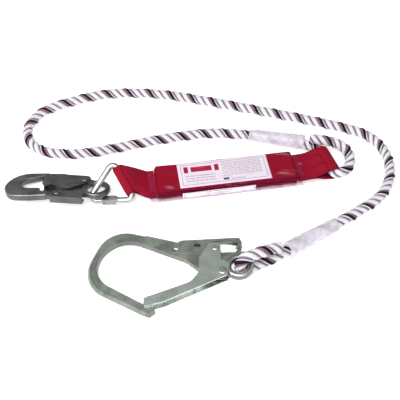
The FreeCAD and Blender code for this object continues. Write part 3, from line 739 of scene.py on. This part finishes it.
bpy.ops.mesh.select_non_manifold()
bpy.ops.mesh.bridge_edge_loops()
bpy.ops.mesh.select_all(action="SELECT")
bpy.ops.mesh.normals_make_consistent(inside=False)
bpy.ops.object.mode_set(mode="OBJECT")
clear_film, tone = new_finish("clear_film")
where = place_of(tone)
stretched = tone.node("ShaderNodeMapping", {}, {"Vector": where, "Scale": (0.35, 1.6, 1.2)})
wrinkles = noise(tone, stretched, 95.0, 3.0)
glaze = tone.node("ShaderNodeBsdfPrincipled", {}, {
    "Base Color": (0.86, 0.74, 0.84, 1), "Roughness": 0.13, "Specular IOR Level": 0.9,
    "Normal": wrinkles.bump(0.7, 0.0016)})
through = tone.node("ShaderNodeBsdfTransparent", {}, {"Color": (0.99, 0.97, 0.98, 1)})
height = Tone(tone.tree, tone.node("ShaderNodeSeparateXYZ", {}, {0: where}).socket.node.outputs[2])
# Painted reflection: the film is made more opaque towards the table, so its whitish glaze shows
# along the lower sides.
painted_low_reflection = (1 - height.smooth(0.003, 0.013)) * 0.45
close_finish(tone, tone.node("ShaderNodeMixShader", {}, {
    0: wrinkles.smooth(0.60, 0.76) * 0.10 + painted_low_reflection, 1: through, 2: glaze}))
wear(skin, clear_film)
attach(skin, "lanyard")
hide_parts("film_sleeve")

# ---------------------------------------------------------------- metal finishes
# Zinc-plated pressed steel for the scaffold hook and the link, dark plated steel for the small
# hook, bright heads on the rivets, drawn wire for the springs. All are bought-in forgings and
# pressings with light scuffs from the tumbling.


def plated(name, dull, bright, rough, scuff, side_shade, bump=0.10):
    made, tone = new_finish(name)
    where = place_of(tone)
    cloud = noise(tone, where, 55.0, 4.0)
    fine = noise(tone, where, 900.0, 3.0)
    brushed = noise(tone, tone.node("ShaderNodeMapping", {}, {
        "Vector": where, "Scale": (1.0, 9.0, 1.0)}), 160.0, 3.0)
    facing = tone.node("ShaderNodeSeparateXYZ", {}, {
        0: tone.node("ShaderNodeNewGeometry", {}, {}, 1)})
    level = Tone(tone.tree, facing.socket.node.outputs[2])
    metal = cloud.smooth(0.3, 0.7).tint(dull, bright)
    scuffed = (brushed.smooth(0.60, 0.72) * scuff).tint(metal, (0.86, 0.87, 0.84, 1))
    # Painted shade: faces that point sideways, the side walls and bevels, are painted near-black.
    sides = (1 - tone.math("ABSOLUTE", level).smooth(0.35, 0.9)) * side_shade
    close_finish(tone, tone.node("ShaderNodeBsdfPrincipled", {}, {
        "Base Color": sides.tint(scuffed, (0.07, 0.075, 0.068, 1)), "Metallic": 1.0,
        "Roughness": cloud * 0.22 + brushed * 0.12 + rough,
        "Normal": fine.bump(bump, 0.0002, cloud.bump(0.12, 0.0010))}))
    return made


zinc = plated("zinc_plate", (0.38, 0.42, 0.37, 1), (0.66, 0.70, 0.63, 1), 0.14, 0.45, 0.80)
# A lighter copy of the zinc plating for the scaffold hook's gate: a painted highlight.
zinc_painted_highlight = plated("zinc_painted_highlight", (0.80, 0.86, 0.81, 1), (0.94, 0.97, 0.94, 1), 0.12, 0.4, 0.25)
link_zinc = plated("link_zinc", (0.50, 0.50, 0.50, 1), (0.68, 0.68, 0.68, 1), 0.10, 0.3, 0.15)
dark_plate = plated("dark_plate", (0.16, 0.16, 0.16, 1), (0.28, 0.28, 0.265, 1), 0.20, 0.3, 0.6)
rivet_steel = plated("rivet_steel", (0.50, 0.46, 0.44, 1), (0.80, 0.76, 0.74, 1), 0.14, 0.4, 0.75)
spring_wire = plated("spring_wire", (0.30, 0.30, 0.30, 1), (0.50, 0.50, 0.50, 1), 0.2, 0.2, 0.2)
for name, node in nodes.items():
    if "spring" in name:
        wear(node, spring_wire)
    elif name.startswith("snap"):
        wear(node, dark_plate)
    elif "rivet" in name or "pin" in name:
        wear(node, rivet_steel)
    elif name.startswith("link"):
        wear(node, link_zinc)
    elif name == "scaffold_gate":
        wear(node, zinc_painted_highlight)
    elif name.startswith("scaffold"):
        wear(node, zinc)
